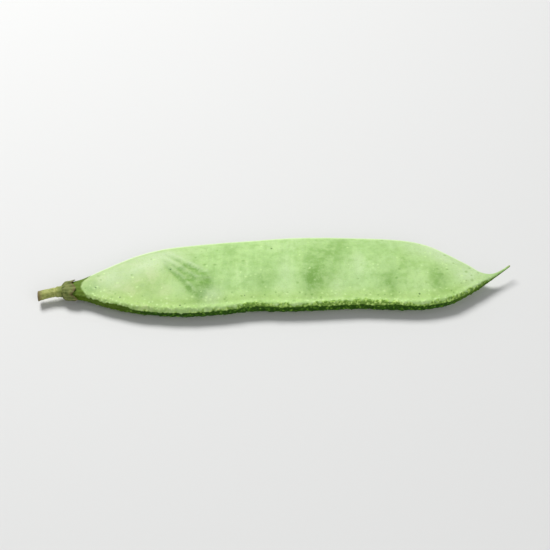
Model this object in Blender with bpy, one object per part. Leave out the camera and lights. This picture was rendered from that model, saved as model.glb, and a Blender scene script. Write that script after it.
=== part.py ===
"""A hyacinth bean, as picked: one flat green pod lying on its side, with its half-withered calyx and short stalk.

Metres, +Z up. +X runs along the pod from the stalk to the beak, and -Y is the side of the thick warty seam.
The origin is on the surface that the pod lies on, under the middle of the whole bean.
"""

import bmesh
import bpy
import math
from mathutils import Matrix, Vector

MM = 0.001

# The pod, from the end of its neck to the tip of its beak
POD_LENGTH = 95.4 * MM
POD_WIDTH = 21.4 * MM
POD_THICKNESS = 4.4 * MM

# Each row: share of the length, then the far edge, the near edge and the thickness there,
# as shares of the pod's full width and thickness
POD_SHAPE = (
    (0.000, -0.100, -0.283, 0.56),
    (0.038, -0.044, -0.309, 0.64),
    (0.076, 0.077, -0.376, 0.74),
    (0.115, 0.192, -0.434, 0.82),
    (0.153, 0.290, -0.480, 0.88),
    (0.210, 0.385, -0.512, 0.94),
    (0.267, 0.431, -0.526, 0.98),
    (0.344, 0.478, -0.500, 1.00),
    (0.420, 0.512, -0.451, 1.00),
    (0.496, 0.548, -0.454, 1.00),
    (0.573, 0.558, -0.436, 1.00),
    (0.649, 0.549, -0.417, 1.00),
    (0.725, 0.532, -0.430, 0.99),
    (0.778, 0.499, -0.436, 0.94),
    (0.821, 0.427, -0.410, 0.88),
    (0.859, 0.314, -0.358, 0.79),
    (0.888, 0.214, -0.278, 0.69),
    (0.914, 0.127, -0.186, 0.55),
    (0.936, 0.050, -0.100, 0.40),
    (0.956, 0.027, -0.034, 0.25),
    (0.976, 0.064, 0.036, 0.16),
    (1.000, 0.145, 0.126, 0.08),
)

# How far the sections turn to the left of straight across, at the neck's end and along the beak
NECK_TURN = math.radians(5)
NECK_REACH = 0.10
BEAK_TURN = math.radians(36)
BEAK_START = 0.90
BEAK_TURNED = 0.97
BEAK_LIFT = 0.7 * MM
BEAK_LIFT_POWER = 1.5

# The two edges: the near one carries the warty double seam, the far one is a thin smooth rim
SEAM_HALF = 0.75 * MM
RIM_HALF = 0.45 * MM
LARGEST_EDGE_SHARE = 0.80
LENS_POWER = 0.80
SEAM_GROOVE = 0.40 * MM
SEAM_GROOVE_REACH = 0.008
RIDGE_HEIGHT = 0.18 * MM
RIDGE_INSET = 0.85 * MM
RIDGE_REACH = 0.55 * MM
FURROW_DEPTH = 0.18 * MM
FURROW_INSET = 2.00 * MM
FURROW_REACH = 0.65 * MM
WART_HEIGHT = 0.22 * MM
WART_SPACING = 2.9 * MM
WART_LAG_BELOW = 2.0
WART_STRAY = 1.4
WART_STRAY_PACE = 0.37
WART_FADE = 0.06

# The seeds that swell both faces: share of the length, share of the half width, and how much each one swells
SEEDS = (
    (0.293, -0.16, 0.95),
    (0.427, -0.08, 1.00),
    (0.556, -0.16, 1.00),
    (0.700, -0.10, 1.05),
    (0.826, -0.12, 0.90),
)
SEED_SWELL = 0.55 * MM
SEED_HALF_LENGTH = 4.6 * MM
SEED_HALF_WIDTH = 4.9 * MM

STATIONS = 100
AROUND = 40
END_CROWDING = 0.42
REST_FLAT_DEPTH = 0.30 * MM

# The calyx, a half-withered cup with short lobes that clasps the neck
FIT_GAP = 0.32 * MM
CALYX_WALL = 0.42 * MM
CALYX_BASE = 0.80 * MM
CALYX_CUP = 1.10 * MM
CALYX_LOBE = 0.95 * MM
CALYX_FLARE = 0.26 * MM
CALYX_LOBE_SPREAD = 0.13 * MM
CALYX_LOBES = 5
CALYX_SHOULDER = 0.86
CALYX_FLOOR = 0.90
CALYX_STEPS = 40

# The stalk, cut off short
STALK_LENGTH = 4.6 * MM
STALK_RADIUS = 0.95 * MM
STALK_FOOT = 1.35
STALK_END = 1.18
STALK_BEND = 0.85 * MM
STALK_DROOP = 0.25 * MM
STALK_POINTS = 9

POD_GREEN = (0.435, 0.640, 0.235)
CALYX_OLIVE = (0.150, 0.155, 0.055)
STALK_OLIVE = (0.310, 0.345, 0.090)
SHARP_FROM = math.radians(50)


def clear_scene():
    for obj in list(bpy.data.objects):
        bpy.data.objects.remove(obj, do_unlink=True)


def material(name, colour, roughness):
    """A plain Principled material with no metal in it."""
    made = bpy.data.materials.new(name)
    made.use_nodes = True
    shader = made.node_tree.nodes["Principled BSDF"]
    shader.inputs["Base Color"].default_value = (*colour, 1.0)
    shader.inputs["Roughness"].default_value = roughness
    shader.inputs["Metallic"].default_value = 0.0
    made.diffuse_color = (*colour, 1.0)
    return made


def along_rows(share, column):
    """A column of POD_SHAPE at this share of the length, on a smooth curve through the rows."""
    rows = POD_SHAPE
    last = len(rows) - 1
    i = next((k for k in range(last) if share <= rows[k + 1][0]), last - 1)

    def slope(k):
        before, after = rows[max(k - 1, 0)], rows[min(k + 1, last)]
        return (after[column] - before[column]) / (after[0] - before[0])

    span = rows[i + 1][0] - rows[i][0]
    t = (share - rows[i][0]) / span
    return (
        (2 * t**3 - 3 * t**2 + 1) * rows[i][column]
        + (t**3 - 2 * t**2 + t) * span * slope(i)
        + (3 * t**2 - 2 * t**3) * rows[i + 1][column]
        + (t**3 - t**2) * span * slope(i + 1)
    )


def smooth_step(value):
    value = min(1.0, max(0.0, value))
    return value * value * (3 - 2 * value)


def middle_line(share):
    """The pod's middle line: it lies level, and only the beak rises a little."""
    sideways = 0.5 * (along_rows(share, 1) + along_rows(share, 2)) * POD_WIDTH
    rise = max(0.0, (share - BEAK_START) / (1 - BEAK_START))
    return Vector((share * POD_LENGTH, sideways, BEAK_LIFT * rise**BEAK_LIFT_POWER))


def heading(share):
    """The way that the sections face, seen from above."""
    turn = NECK_TURN * smooth_step(1 - share / NECK_REACH)
    turn += BEAK_TURN * smooth_step((share - BEAK_START) / (BEAK_TURNED - BEAK_START))
    return Vector((math.cos(turn), math.sin(turn), 0.0))


def half_width_at(share):
    return 0.5 * POD_WIDTH * (along_rows(share, 1) - along_rows(share, 2))


def half_thickness_at(share):
    return 0.5 * POD_THICKNESS * along_rows(share, 3)


def bell(distance, reach):
    return math.exp(-((distance / reach) ** 2))


def seed_swell(along, across, half_width):
    """How far the seeds push a face out at this point, in metres."""
    return sum(
        SEED_SWELL
        * much
        * bell(along - share * POD_LENGTH, SEED_HALF_LENGTH)
        * bell(across - side * half_width, SEED_HALF_WIDTH)
        for share, side, much in SEEDS
    )


def wart(along, upper):
    """Heights from 0 to 1 for the uneven knobs along the seam's two ridges, which don't match each other."""
    phase = 2 * math.pi * along / WART_SPACING + (0.0 if upper else WART_LAG_BELOW)
    return 0.5 + 0.5 * math.sin(phase + WART_STRAY * math.sin(WART_STRAY_PACE * phase))


def pod_point(share, turn):
    """A point of the pod's skin. turn runs from the far rim over the upper face to the seam, and back below."""
    upper = turn < math.pi
    half_width = half_width_at(share)
    belly = half_thickness_at(share)
    side = math.cos(turn)
    seam = min(SEAM_HALF, LARGEST_EDGE_SHARE * belly)
    rim = min(RIM_HALF, LARGEST_EDGE_SHARE * belly)
    edge = rim + (seam - rim) * 0.5 * (1 - side)
    height = edge + (belly - edge) * (1 - side * side) ** LENS_POWER
    flesh = min(1.0, half_width / (0.5 * POD_WIDTH))
    height += seed_swell(share * POD_LENGTH, side * half_width, half_width) * flesh

    # Both seam edges carry a ridge, with a shallow furrow between it and the face
    from_seam = (1 + side) * half_width
    full = min(1.0, share / WART_FADE, (1 - share) / WART_FADE)
    ridge = RIDGE_HEIGHT + WART_HEIGHT * wart(share * POD_LENGTH, upper)
    height += full * flesh * ridge * bell(from_seam - RIDGE_INSET, RIDGE_REACH)
    height -= full * flesh * FURROW_DEPTH * bell(from_seam - FURROW_INSET, FURROW_REACH)

    # Each edge closes in a round as wide as it is high
    round_start = max(0.0, 1 - edge / half_width)
    beyond = max(0.0, (abs(side) - round_start) / (1 - round_start))
    height *= math.sqrt(max(0.0, 1 - beyond * beyond))
    groove = full * flesh * SEAM_GROOVE * bell(side + 1, SEAM_GROOVE_REACH)

    ahead = heading(share)
    across = Vector((-ahead.y, ahead.x, 0.0))
    place = middle_line(share) + across * (side * half_width + groove)
    place.z += height if upper else -height
    return place


def new_object(name, mesh, look, collection, parent):
    obj = bpy.data.objects.new(name, mesh)
    obj.data.materials.append(look)
    obj.parent = parent
    collection.objects.link(obj)
    return obj


def finish_mesh(bm, name):
    mesh = bpy.data.meshes.new(name)
    bmesh.ops.recalc_face_normals(bm, faces=bm.faces)
    if bm.calc_volume(signed=True) < 0:
        bmesh.ops.reverse_faces(bm, faces=bm.faces)
    bm.to_mesh(mesh)
    bm.free()
    mesh.shade_smooth()
    mesh.set_sharp_from_angle(angle=SHARP_FROM)
    return mesh


def rest_on_surface(bm):
    """Lowers the pod until its seeds bear on the surface, and flattens it there."""
    lowest = min(v.co.z for v in bm.verts)
    bmesh.ops.translate(bm, verts=bm.verts, vec=(0, 0, -lowest - REST_FLAT_DEPTH))
    bmesh.ops.bisect_plane(
        bm,
        geom=bm.verts[:] + bm.edges[:] + bm.faces[:],
        dist=1e-6,
        plane_co=(0, 0, 0),
        plane_no=(0, 0, 1),
        clear_inner=True,
    )
    open_edges = [e for e in bm.edges if e.is_boundary]
    bmesh.ops.holes_fill(bm, edges=open_edges, sides=0)
    return -lowest - REST_FLAT_DEPTH


def make_pod(look, collection, parent):
    """A closed tube of many rings, each shaped to the pod's section there. Returns how far it was moved up."""
    bm = bmesh.new()
    bmesh.ops.create_cone(bm, cap_ends=True, segments=AROUND, radius1=1, radius2=1, depth=1)
    long_edges = [e for e in bm.edges if abs(e.verts[0].co.z - e.verts[1].co.z) > 0.5]
    bmesh.ops.subdivide_edges(bm, edges=long_edges, cuts=STATIONS - 2)
    for v in bm.verts:
        station = round((v.co.z + 0.5) * (STATIONS - 1))
        even = station / (STATIONS - 1)
        share = even - END_CROWDING * math.sin(2 * math.pi * even) / (2 * math.pi)
        point = round(math.atan2(v.co.y, v.co.x) / (2 * math.pi) * AROUND) % AROUND
        v.co = pod_point(share, 2 * math.pi * point / AROUND)
    lift = rest_on_surface(bm)
    new_object("pod", finish_mesh(bm, "pod"), look, collection, parent)
    return lift


def neck_frame(lift):
    """Axes at the neck's end: X out along the stalk, Y across, Z up."""
    out = -heading(0.0)
    across = Vector((-out.y, out.x, 0.0))
    turn = Matrix((out, across, Vector((0, 0, 1)))).transposed().to_4x4()
    return Matrix.Translation(middle_line(0.0) + Vector((0, 0, lift))) @ turn


def make_calyx(frame, look, collection, parent):
    """A turned cup, pressed oval to fit the neck, its edge drawn out in lobes."""
    half_width = half_width_at(0.0)
    half_height = half_thickness_at(0.0)
    inner = half_width + FIT_GAP
    outer = inner + CALYX_WALL
    base = FIT_GAP + CALYX_BASE
    profile = (
        (base, 0.0),
        (base, STALK_RADIUS * STALK_FOOT),
        (0.5 * base, CALYX_SHOULDER * outer),
        (0.0, outer),
        (-CALYX_CUP, outer + CALYX_FLARE),
        (-CALYX_CUP, inner + CALYX_FLARE),
        (0.0, inner),
        (FIT_GAP, CALYX_FLOOR * inner),
        (FIT_GAP, 0.0),
    )
    bm = bmesh.new()
    verts = [bm.verts.new((x, radius, 0)) for x, radius in profile]
    edges = [bm.edges.new(pair) for pair in zip(verts, verts[1:])]
    bmesh.ops.spin(
        bm,
        geom=verts + edges,
        axis=(1, 0, 0),
        cent=(0, 0, 0),
        angle=2 * math.pi,
        steps=CALYX_STEPS,
        use_merge=True,
    )
    bmesh.ops.remove_doubles(bm, verts=bm.verts, dist=1e-6)
    for v in bm.verts:
        turn = math.atan2(v.co.z, v.co.y)
        on_the_rim = v.co.x < -0.5 * CALYX_CUP
        if on_the_rim:
            lobe = 0.5 + 0.5 * math.cos(CALYX_LOBES * turn)
            v.co.x -= CALYX_LOBE * lobe
            spread = 1 + CALYX_LOBE_SPREAD * lobe / outer
            v.co.y *= spread
            v.co.z *= spread
        # The neck is flatter than it is wide, and the gap round it stays the same
        radius = math.hypot(v.co.y, v.co.z)
        v.co.z -= (half_width - half_height) * math.sin(turn) * min(1.0, radius / inner)
    bm.transform(frame)
    new_object("calyx", finish_mesh(bm, "calyx"), look, collection, parent)


def make_stalk(frame, look, collection, parent):
    """A short round stalk, thicker where it meets the calyx and at its cut end, bent a little to the near side."""
    curve = bpy.data.curves.new("stalk", "CURVE")
    curve.dimensions = "3D"
    curve.bevel_depth = STALK_RADIUS
    curve.bevel_resolution = 4
    curve.use_fill_caps = True
    spline = curve.splines.new("POLY")
    spline.points.add(STALK_POINTS - 1)
    start = 2 * FIT_GAP + CALYX_BASE
    for i, point in enumerate(spline.points):
        t = i / (STALK_POINTS - 1)
        place = frame @ Vector((start + t * STALK_LENGTH, STALK_BEND * t * t, -STALK_DROOP * t))
        point.co = (*place, 1.0)
        foot = STALK_FOOT - 1
        point.radius = 1 + foot * (1 - t) ** 4 + (STALK_END - 1) * t**3
    new_object("stalk", curve, look, collection, parent)


def centre(parent, collection):
    """Moves the whole bean so that the origin is under the middle of its box."""
    bpy.context.view_layer.update()
    graph = bpy.context.evaluated_depsgraph_get()
    corners = []
    for obj in collection.objects:
        if obj.type == "EMPTY":
            continue
        evaluated = obj.evaluated_get(graph)
        mesh = evaluated.to_mesh()
        corners += [evaluated.matrix_world @ v.co for v in mesh.vertices]
        evaluated.to_mesh_clear()
    low = [min(c[axis] for c in corners) for axis in range(3)]
    high = [max(c[axis] for c in corners) for axis in range(3)]
    parent.location = (-(low[0] + high[0]) / 2, -(low[1] + high[1]) / 2, 0.0)


def main():
    clear_scene()
    collection = bpy.data.collections.new("hyacinth_bean")
    bpy.context.scene.collection.children.link(collection)
    parent = bpy.data.objects.new("hyacinth_bean", None)
    collection.objects.link(parent)
    lift = make_pod(material("pod_skin", POD_GREEN, 0.5), collection, parent)
    frame = neck_frame(lift)
    make_calyx(frame, material("calyx_dry", CALYX_OLIVE, 0.85), collection, parent)
    make_stalk(frame, material("stalk_olive", STALK_OLIVE, 0.7), collection, parent)
    centre(parent, collection)


main()
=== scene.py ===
import math

import bmesh
import bpy
from mathutils import Matrix, Vector, noise


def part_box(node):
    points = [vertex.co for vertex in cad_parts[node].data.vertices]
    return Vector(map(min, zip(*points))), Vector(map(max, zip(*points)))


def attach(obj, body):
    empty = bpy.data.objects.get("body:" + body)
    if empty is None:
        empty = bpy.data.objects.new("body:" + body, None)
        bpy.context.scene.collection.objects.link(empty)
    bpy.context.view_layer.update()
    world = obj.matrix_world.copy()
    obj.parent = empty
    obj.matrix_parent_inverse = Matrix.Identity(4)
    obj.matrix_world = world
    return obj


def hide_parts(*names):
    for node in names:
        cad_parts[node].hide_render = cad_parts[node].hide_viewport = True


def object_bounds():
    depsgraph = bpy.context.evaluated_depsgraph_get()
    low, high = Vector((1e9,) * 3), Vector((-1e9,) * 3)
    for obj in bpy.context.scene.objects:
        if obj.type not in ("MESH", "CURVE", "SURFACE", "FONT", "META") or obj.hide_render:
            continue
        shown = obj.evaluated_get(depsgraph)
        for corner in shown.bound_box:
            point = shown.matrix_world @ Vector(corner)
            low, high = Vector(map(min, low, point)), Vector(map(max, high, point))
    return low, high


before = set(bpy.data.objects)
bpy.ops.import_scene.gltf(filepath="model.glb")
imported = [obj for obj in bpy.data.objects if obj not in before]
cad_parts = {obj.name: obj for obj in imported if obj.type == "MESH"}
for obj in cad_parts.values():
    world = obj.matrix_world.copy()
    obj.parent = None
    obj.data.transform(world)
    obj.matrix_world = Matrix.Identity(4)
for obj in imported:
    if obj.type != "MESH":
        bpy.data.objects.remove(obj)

cad_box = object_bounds()

# The pod is one grown shell: two flat, faintly waxy walls that swell a little over the young seeds. It
# narrows to a neck at the stalk and to a fine hooked beak. A thick warty double seam runs along its near
# edge, and a thin smooth rim along the far one.
MM = 0.001
POD_LENGTH = 95.4 * MM
POD_WIDTH = 21.4 * MM
POD_THICKNESS = 4.4 * MM

# Each row: share of the length, then the far edge, the near edge and the thickness there,
# as shares of the pod's full width and thickness
POD_SHAPE = (
    (0.000, -0.100, -0.283, 0.56),
    (0.038, -0.044, -0.309, 0.64),
    (0.076, 0.077, -0.376, 0.74),
    (0.115, 0.192, -0.434, 0.82),
    (0.153, 0.290, -0.480, 0.88),
    (0.210, 0.385, -0.512, 0.94),
    (0.267, 0.431, -0.526, 0.98),
    (0.344, 0.478, -0.500, 1.00),
    (0.420, 0.512, -0.451, 1.00),
    (0.496, 0.548, -0.454, 1.00),
    (0.573, 0.558, -0.436, 1.00),
    (0.649, 0.549, -0.417, 1.00),
    (0.725, 0.532, -0.430, 0.99),
    (0.778, 0.499, -0.436, 0.94),
    (0.821, 0.427, -0.410, 0.88),
    (0.859, 0.314, -0.358, 0.79),
    (0.888, 0.214, -0.278, 0.69),
    (0.914, 0.127, -0.186, 0.55),
    (0.936, 0.050, -0.100, 0.40),
    (0.956, 0.027, -0.034, 0.25),
    (0.976, 0.064, 0.036, 0.16),
    (1.000, 0.145, 0.126, 0.08),
)
NECK_TURN = math.radians(5)
NECK_REACH = 0.10
BEAK_TURN = math.radians(36)
BEAK_START = 0.90
BEAK_TURNED = 0.97
BEAK_LIFT = 0.7 * MM
BEAK_LIFT_POWER = 1.5
TIP_ROUND = 0.35 * MM
TIP_LEAST = 0.30
SEAM_HALF = 0.75 * MM
RIM_HALF = 0.45 * MM
LARGEST_EDGE_SHARE = 0.80
LENS_POWER = 0.80
SEAM_GROOVE = 0.40 * MM
SEAM_GROOVE_REACH = 0.008
RIDGE_HEIGHT = 0.18 * MM
RIDGE_INSET = 0.85 * MM
RIDGE_REACH = 0.55 * MM
FURROW_DEPTH = 0.09 * MM
FURROW_INSET = 2.00 * MM
FURROW_REACH = 0.65 * MM
WART_HEIGHT = 0.22 * MM
WART_SPACING = 2.9 * MM
WART_LAG_BELOW = 2.0
WART_STRAY = 1.4
WART_STRAY_PACE = 0.37
WART_FADE = 0.06

# Each seed: share of the length, share of the half width, and how much it swells
SEEDS = (
    (0.293, -0.16, 0.95),
    (0.427, -0.08, 1.00),
    (0.556, -0.16, 1.00),
    (0.700, -0.10, 1.05),
    (0.826, -0.12, 0.90),
)
SEED_SWELL = 0.55 * MM
SEED_HALF_LENGTH = 4.6 * MM
SEED_HALF_WIDTH = 4.9 * MM

# Darker green patches, most of them over or beside a seed, partly the skin's own green and partly painted
# shade of the seeds' swells. Each row: share of the length, share of the half width, half length, half width,
# and how much
GREEN_AND_SHADE_PATCHES = (
    (0.056, -0.22, 2.2 * MM, 1.7 * MM, 0.80),
    (0.264, 0.14, 3.0 * MM, 2.4 * MM, 0.65),
    (0.300, -0.42, 2.4 * MM, 3.0 * MM, 1.30),
    (0.368, 0.34, 1.4 * MM, 3.6 * MM, 0.25),
    (0.440, -0.36, 1.5 * MM, 3.2 * MM, 0.35),
    (0.548, -0.44, 2.8 * MM, 3.4 * MM, 0.85),
    (0.558, -0.05, 3.4 * MM, 4.4 * MM, 0.50),
    (0.595, 0.45, 5.0 * MM, 4.6 * MM, 0.42),
    (0.724, -0.46, 2.2 * MM, 2.8 * MM, 0.72),
    (0.760, 0.20, 2.6 * MM, 4.4 * MM, 0.30),
    (0.834, -0.24, 1.8 * MM, 3.8 * MM, 0.75),
)

# Paler patches, partly where the bloom of wax is thickest and partly a painted sheen, in the same columns
BLOOM_AND_SHEEN_PATCHES = (
    (0.150, 0.45, 9.0 * MM, 3.4 * MM, 1.00),
    (0.180, 0.74, 6.0 * MM, 1.8 * MM, 0.85),
    (0.105, -0.10, 3.6 * MM, 3.0 * MM, 0.50),
    (0.326, -0.66, 2.2 * MM, 2.2 * MM, 0.95),
    (0.490, -0.15, 1.6 * MM, 5.0 * MM, 0.45),
    (0.608, -0.56, 1.7 * MM, 2.6 * MM, 0.22),
    (0.655, -0.05, 1.3 * MM, 5.2 * MM, 0.30),
    (0.770, 0.76, 6.0 * MM, 2.4 * MM, 0.35),
    (0.850, 0.62, 5.0 * MM, 2.4 * MM, 0.80),
    (0.860, 0.92, 7.0 * MM, 1.2 * MM, 0.80),
    (0.905, 0.10, 4.5 * MM, 3.6 * MM, 1.00),
)

# Fine creases that slant over the upper face, towards the seam and the beak. Each row: its start and its
# end, as shares of the length and of the half width
CREASES = (
    ((0.217, 0.71), (0.297, -0.01)),
    ((0.212, 0.51), (0.288, -0.22)),
    ((0.218, 0.33), (0.283, -0.58)),
    ((0.266, 0.25), (0.314, -0.09)),
    ((0.265, -0.19), (0.325, -0.29)),
)
LOWEST_CREASE = CREASES[2]
CREASED_SHARES = (0.17, 0.36)
CREASE_DEPTH = 0.17 * MM
CREASE_HALF_WIDTH = 0.40 * MM
CREASE_FADE = 0.1
# How much painted shade lies in each crease, and painted highlight on its fold
CREASE_SHADE_AND_HIGHLIGHT = 0.75
# The soft fold beside a crease: how high, and how many half widths away
FOLD_SHARE = 0.5
FOLD_AWAY = 2.1
# Past the lowest crease lies painted shade, as in a hollow: for how far, how much, and from where to where
# along it
SHADE_PAST_CREASE = 3.8 * MM
SHADE_PAST_SHARE = 0.62
SHADE_PAST_EDGE = (-0.1 * MM, 0.7 * MM)
SHADE_PAST_STARTS = (-0.1, 0.5)
SHADE_PAST_ENDS = (1.25, 0.95)
CREASE_STRAY = 0.4 * MM

# The seam's fine knobs. Each row: their size, how far each spreads in its cell, and their part of the height
KNOBS = ((0.60 * MM, 0.62, 0.65), (0.95 * MM, 0.60, 0.45))
KNOB_HEIGHT = 0.19 * MM
KNOB_SUNK = 0.35
KNOB_REACH = 2.2 * MM
KNOB_FADE = (1.1 * KNOB_REACH, 0.1 * KNOB_REACH)
KNOB_STRAY = 0.3 * MM

# How far up the face the crest's green reaches: the least share of its full reach, and where it is more, each
# as share of the length, half length and how much more
CREST_REACH = 1.40 * MM
CREST_LEAST = 0.28
CREST_SWELLS = ((0.435, 7.5 * MM, 0.75), (0.655, 8.0 * MM, 1.00), (0.87, 8.0 * MM, 0.50))
CREST_FULL = 0.3
CREST_SHARE = 0.60
# On the lower ridge the crest's green is weaker, for painted shade under the seam
CREST_BELOW_IN_SHADE = 0.6
# The crest comes in from the neck in two parts: how much, and between which shares of the length
CREST_STARTS = ((0.65, 0.04, 0.13), (0.35, 0.30, 0.40))

# How high the dark of the seam's wall stands, and how much higher at the neck and past the first seed
# The dark is partly the seam's own dark green and partly painted shade on the wall's lower, downward-facing
# part
WALL_SHADE_TOP = 0.05
WALL_SHADE_TOP_AT_NECK = 0.55
WALL_NECK_ENDS = (0.20, 0.12)
WALL_SHADE_TOP_PAST_SEED = 0.25
WALL_PAST_SEED = (0.27, 0.37)
WALL_SHADE_SOFT = 0.35
WALL_SHADE_EDGE = (1.20 * MM, 0.70 * MM)

# The face is dotted towards the seam, and near the beak too
FRINGE_AT = 2.2 * MM
FRINGE_HALF = 1.8 * MM
DOTTED_AT = 0.86
DOTTED_REACH = 8.0 * MM
DOTTED_SHARE = 0.40

# The soft unevenness of the walls, and where the face begins from the seam and from the rim
SWAY_SIZE = 10 * MM
SWAY_HEIGHT = 0.20 * MM
DIMPLE_SIZE = 3.0 * MM
DIMPLE_HEIGHT = 0.035 * MM
FACE_FROM_SEAM = (1.6 * MM, 3.6 * MM)
FACE_FROM_RIM = (0, 2 * MM)

# The rim's bead with the hollow beside it, and how far the rim is pale: only at its two corners, partly its
# own pale edge and partly a painted highlight
RIM_BEAD = 0.08 * MM
RIM_BEAD_INSET = 0.36 * MM
RIM_BEAD_REACH = 0.30 * MM
RIM_HOLLOW = 0.03 * MM
RIM_HOLLOW_INSET = 1.10 * MM
RIM_PALE = 0.95 * MM
RIM_PALE_FULL = 0.35
RIM_CORNER = (0.35, 0.95)

# The neck's ribs, and where its olive meets the pale face, which ends there in a round tip
NECK_RIBS = 14
NECK_RIB_HEIGHT = 0.05 * MM
FACE_TIP = 0.033
FACE_TIP_ROUND = 0.020
FACE_TIP_OFF = 0.1
FACE_TIP_STRAY = 0.002
FACE_TIP_SOFT = (0.004, -0.003)

# Where marks fade in and out along the pod, as shares of its length
NECK_FADE = (0, 0.05)
TIP_FADE = (1, 0.97)
OLIVE_ENDS = (0.20, 0.10)
BEAK_DARKENS = (0.84, 0.90)
TIP_BROWNS = (0.985, 1.0)

# Borders wander by fine and by broad noise. Where the pod is slender, its knobs and its rim's bead are less
STRAY_SIZE = 0.8 * MM
BROAD_STRAY_SIZE = 2.6 * MM
BROAD_STRAY = 0.7
LEVEL_STRAY = 0.25
EDGE_STRAY = 0.60 * MM
SLENDER_HALF = 2.8 * MM

# The mesh: rings along the pod, crowded towards its ends, and points round each, crowded towards the seam
STATIONS = 760
AROUND = 128
END_CROWDING = 0.42
SEAM_CROWDING = 0.35
SOFT_REST = 0.35 * MM


def bell(distance, reach):
    return math.exp(-((distance / reach) ** 2))


def smooth_step(value):
    value = min(1.0, max(0.0, value))
    return value * value * (3 - 2 * value)


def rising(value, start, end):
    """0 up to start, 1 from end on, and smooth between. It falls where end is the smaller."""
    return smooth_step((value - start) / (end - start))


def along_rows(share, column):
    """A column of POD_SHAPE at this share of the length, on a smooth curve through the rows."""
    rows = POD_SHAPE
    last = len(rows) - 1
    i = next((k for k in range(last) if share <= rows[k + 1][0]), last - 1)

    def slope(k):
        before, after = rows[max(k - 1, 0)], rows[min(k + 1, last)]
        return (after[column] - before[column]) / (after[0] - before[0])

    span = rows[i + 1][0] - rows[i][0]
    t = (share - rows[i][0]) / span
    return (
        (2 * t**3 - 3 * t**2 + 1) * rows[i][column]
        + (t**3 - 2 * t**2 + t) * span * slope(i)
        + (3 * t**2 - 2 * t**3) * rows[i + 1][column]
        + (t**3 - t**2) * span * slope(i + 1)
    )


def pod_section(share):
    """The section at this share of the length: its middle, its way across, half its width and thickness."""
    far, near, thick = (along_rows(share, column) for column in (1, 2, 3))
    rise = max(0.0, (share - BEAK_START) / (1 - BEAK_START))
    middle = Vector((share * POD_LENGTH, 0.5 * (far + near) * POD_WIDTH, BEAK_LIFT * rise**BEAK_LIFT_POWER))
    turn = NECK_TURN * smooth_step(1 - share / NECK_REACH)
    turn += BEAK_TURN * smooth_step((share - BEAK_START) / (BEAK_TURNED - BEAK_START))
    across = Vector((-math.sin(turn), math.cos(turn), 0.0))
    to_tip = max(0.0, 1 - (1 - share) * POD_LENGTH / TIP_ROUND)
    full = max(TIP_LEAST, math.sqrt(1 - to_tip**2))
    return middle, across, 0.5 * (far - near) * POD_WIDTH * full, 0.5 * thick * POD_THICKNESS * full


def wart(along, upper):
    """Heights from 0 to 1 for the uneven knobs along the seam's two ridges, which don't match."""
    phase = 2 * math.pi * along / WART_SPACING + (0.0 if upper else WART_LAG_BELOW)
    return 0.5 + 0.5 * math.sin(phase + WART_STRAY * math.sin(WART_STRAY_PACE * phase))


def pod_point(share, turn, section):
    """A point of the smooth skin. turn runs from the far rim over the upper face to the seam, and back."""
    middle, across, half_width, belly = section
    upper = turn < math.pi
    side = math.cos(turn)
    seam = min(SEAM_HALF, LARGEST_EDGE_SHARE * belly)
    rim = min(RIM_HALF, LARGEST_EDGE_SHARE * belly)
    edge = rim + (seam - rim) * 0.5 * (1 - side)
    height = edge + (belly - edge) * (1 - side * side) ** LENS_POWER
    flesh = min(1.0, half_width / (0.5 * POD_WIDTH))
    for seed_share, seed_side, much in SEEDS:
        swell = bell((share - seed_share) * POD_LENGTH, SEED_HALF_LENGTH)
        swell *= bell((side - seed_side) * half_width, SEED_HALF_WIDTH)
        height += SEED_SWELL * much * swell * flesh

    # Both seam edges carry a ridge, with a shallow furrow between it and the face
    from_seam = (1 + side) * half_width
    full = min(1.0, share / WART_FADE, (1 - share) / WART_FADE)
    ridge = RIDGE_HEIGHT + WART_HEIGHT * wart(share * POD_LENGTH, upper)
    height += full * flesh * ridge * bell(from_seam - RIDGE_INSET, RIDGE_REACH)
    height -= full * flesh * FURROW_DEPTH * bell(from_seam - FURROW_INSET, FURROW_REACH)

    # Each edge closes in a round as wide as it is high
    round_start = max(0.0, 1 - edge / half_width)
    beyond = max(0.0, (abs(side) - round_start) / (1 - round_start))
    height *= math.sqrt(max(0.0, 1 - beyond * beyond))
    groove = full * flesh * SEAM_GROOVE * bell(side + 1, SEAM_GROOVE_REACH)
    place = middle + across * (side * half_width + groove)
    place.z += height if upper else -height
    return place


def past_crease(along, across, half_width, crease):
    """How far along a crease a point is, as a share of it, and how far past it on the beak's side."""
    (start_share, start_side), (end_share, end_side) = crease
    start = Vector((start_share * POD_LENGTH, start_side * half_width))
    run = Vector((end_share * POD_LENGTH, end_side * half_width)) - start
    here = Vector((along, across)) - start
    return here.dot(run) / run.length_squared, (run.x * here.y - run.y * here.x) / run.length


def crease_depth(along, across, half_width):
    """How deep the fine creases run here, each with a soft fold beside it and faded at both its ends."""
    depth = 0.0
    for crease in CREASES:
        t, past = past_crease(along, across, half_width, crease)
        fade = rising(t, -CREASE_FADE, CREASE_FADE) * rising(t, 1 + CREASE_FADE, 1 - CREASE_FADE)
        fold = bell(past - FOLD_AWAY * CREASE_HALF_WIDTH, CREASE_HALF_WIDTH)
        depth += fade * (bell(past, CREASE_HALF_WIDTH) - FOLD_SHARE * fold)
    return CREASE_DEPTH * depth


def knob_height(place):
    """Heights from 0 to about 1 for the seam's fine knobs."""
    heights = ((noise.voronoi(place / size)[0][0] / spread, part) for size, spread, part in KNOBS)
    return sum(part * smooth_step(1 - away) for away, part in heights)


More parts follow.
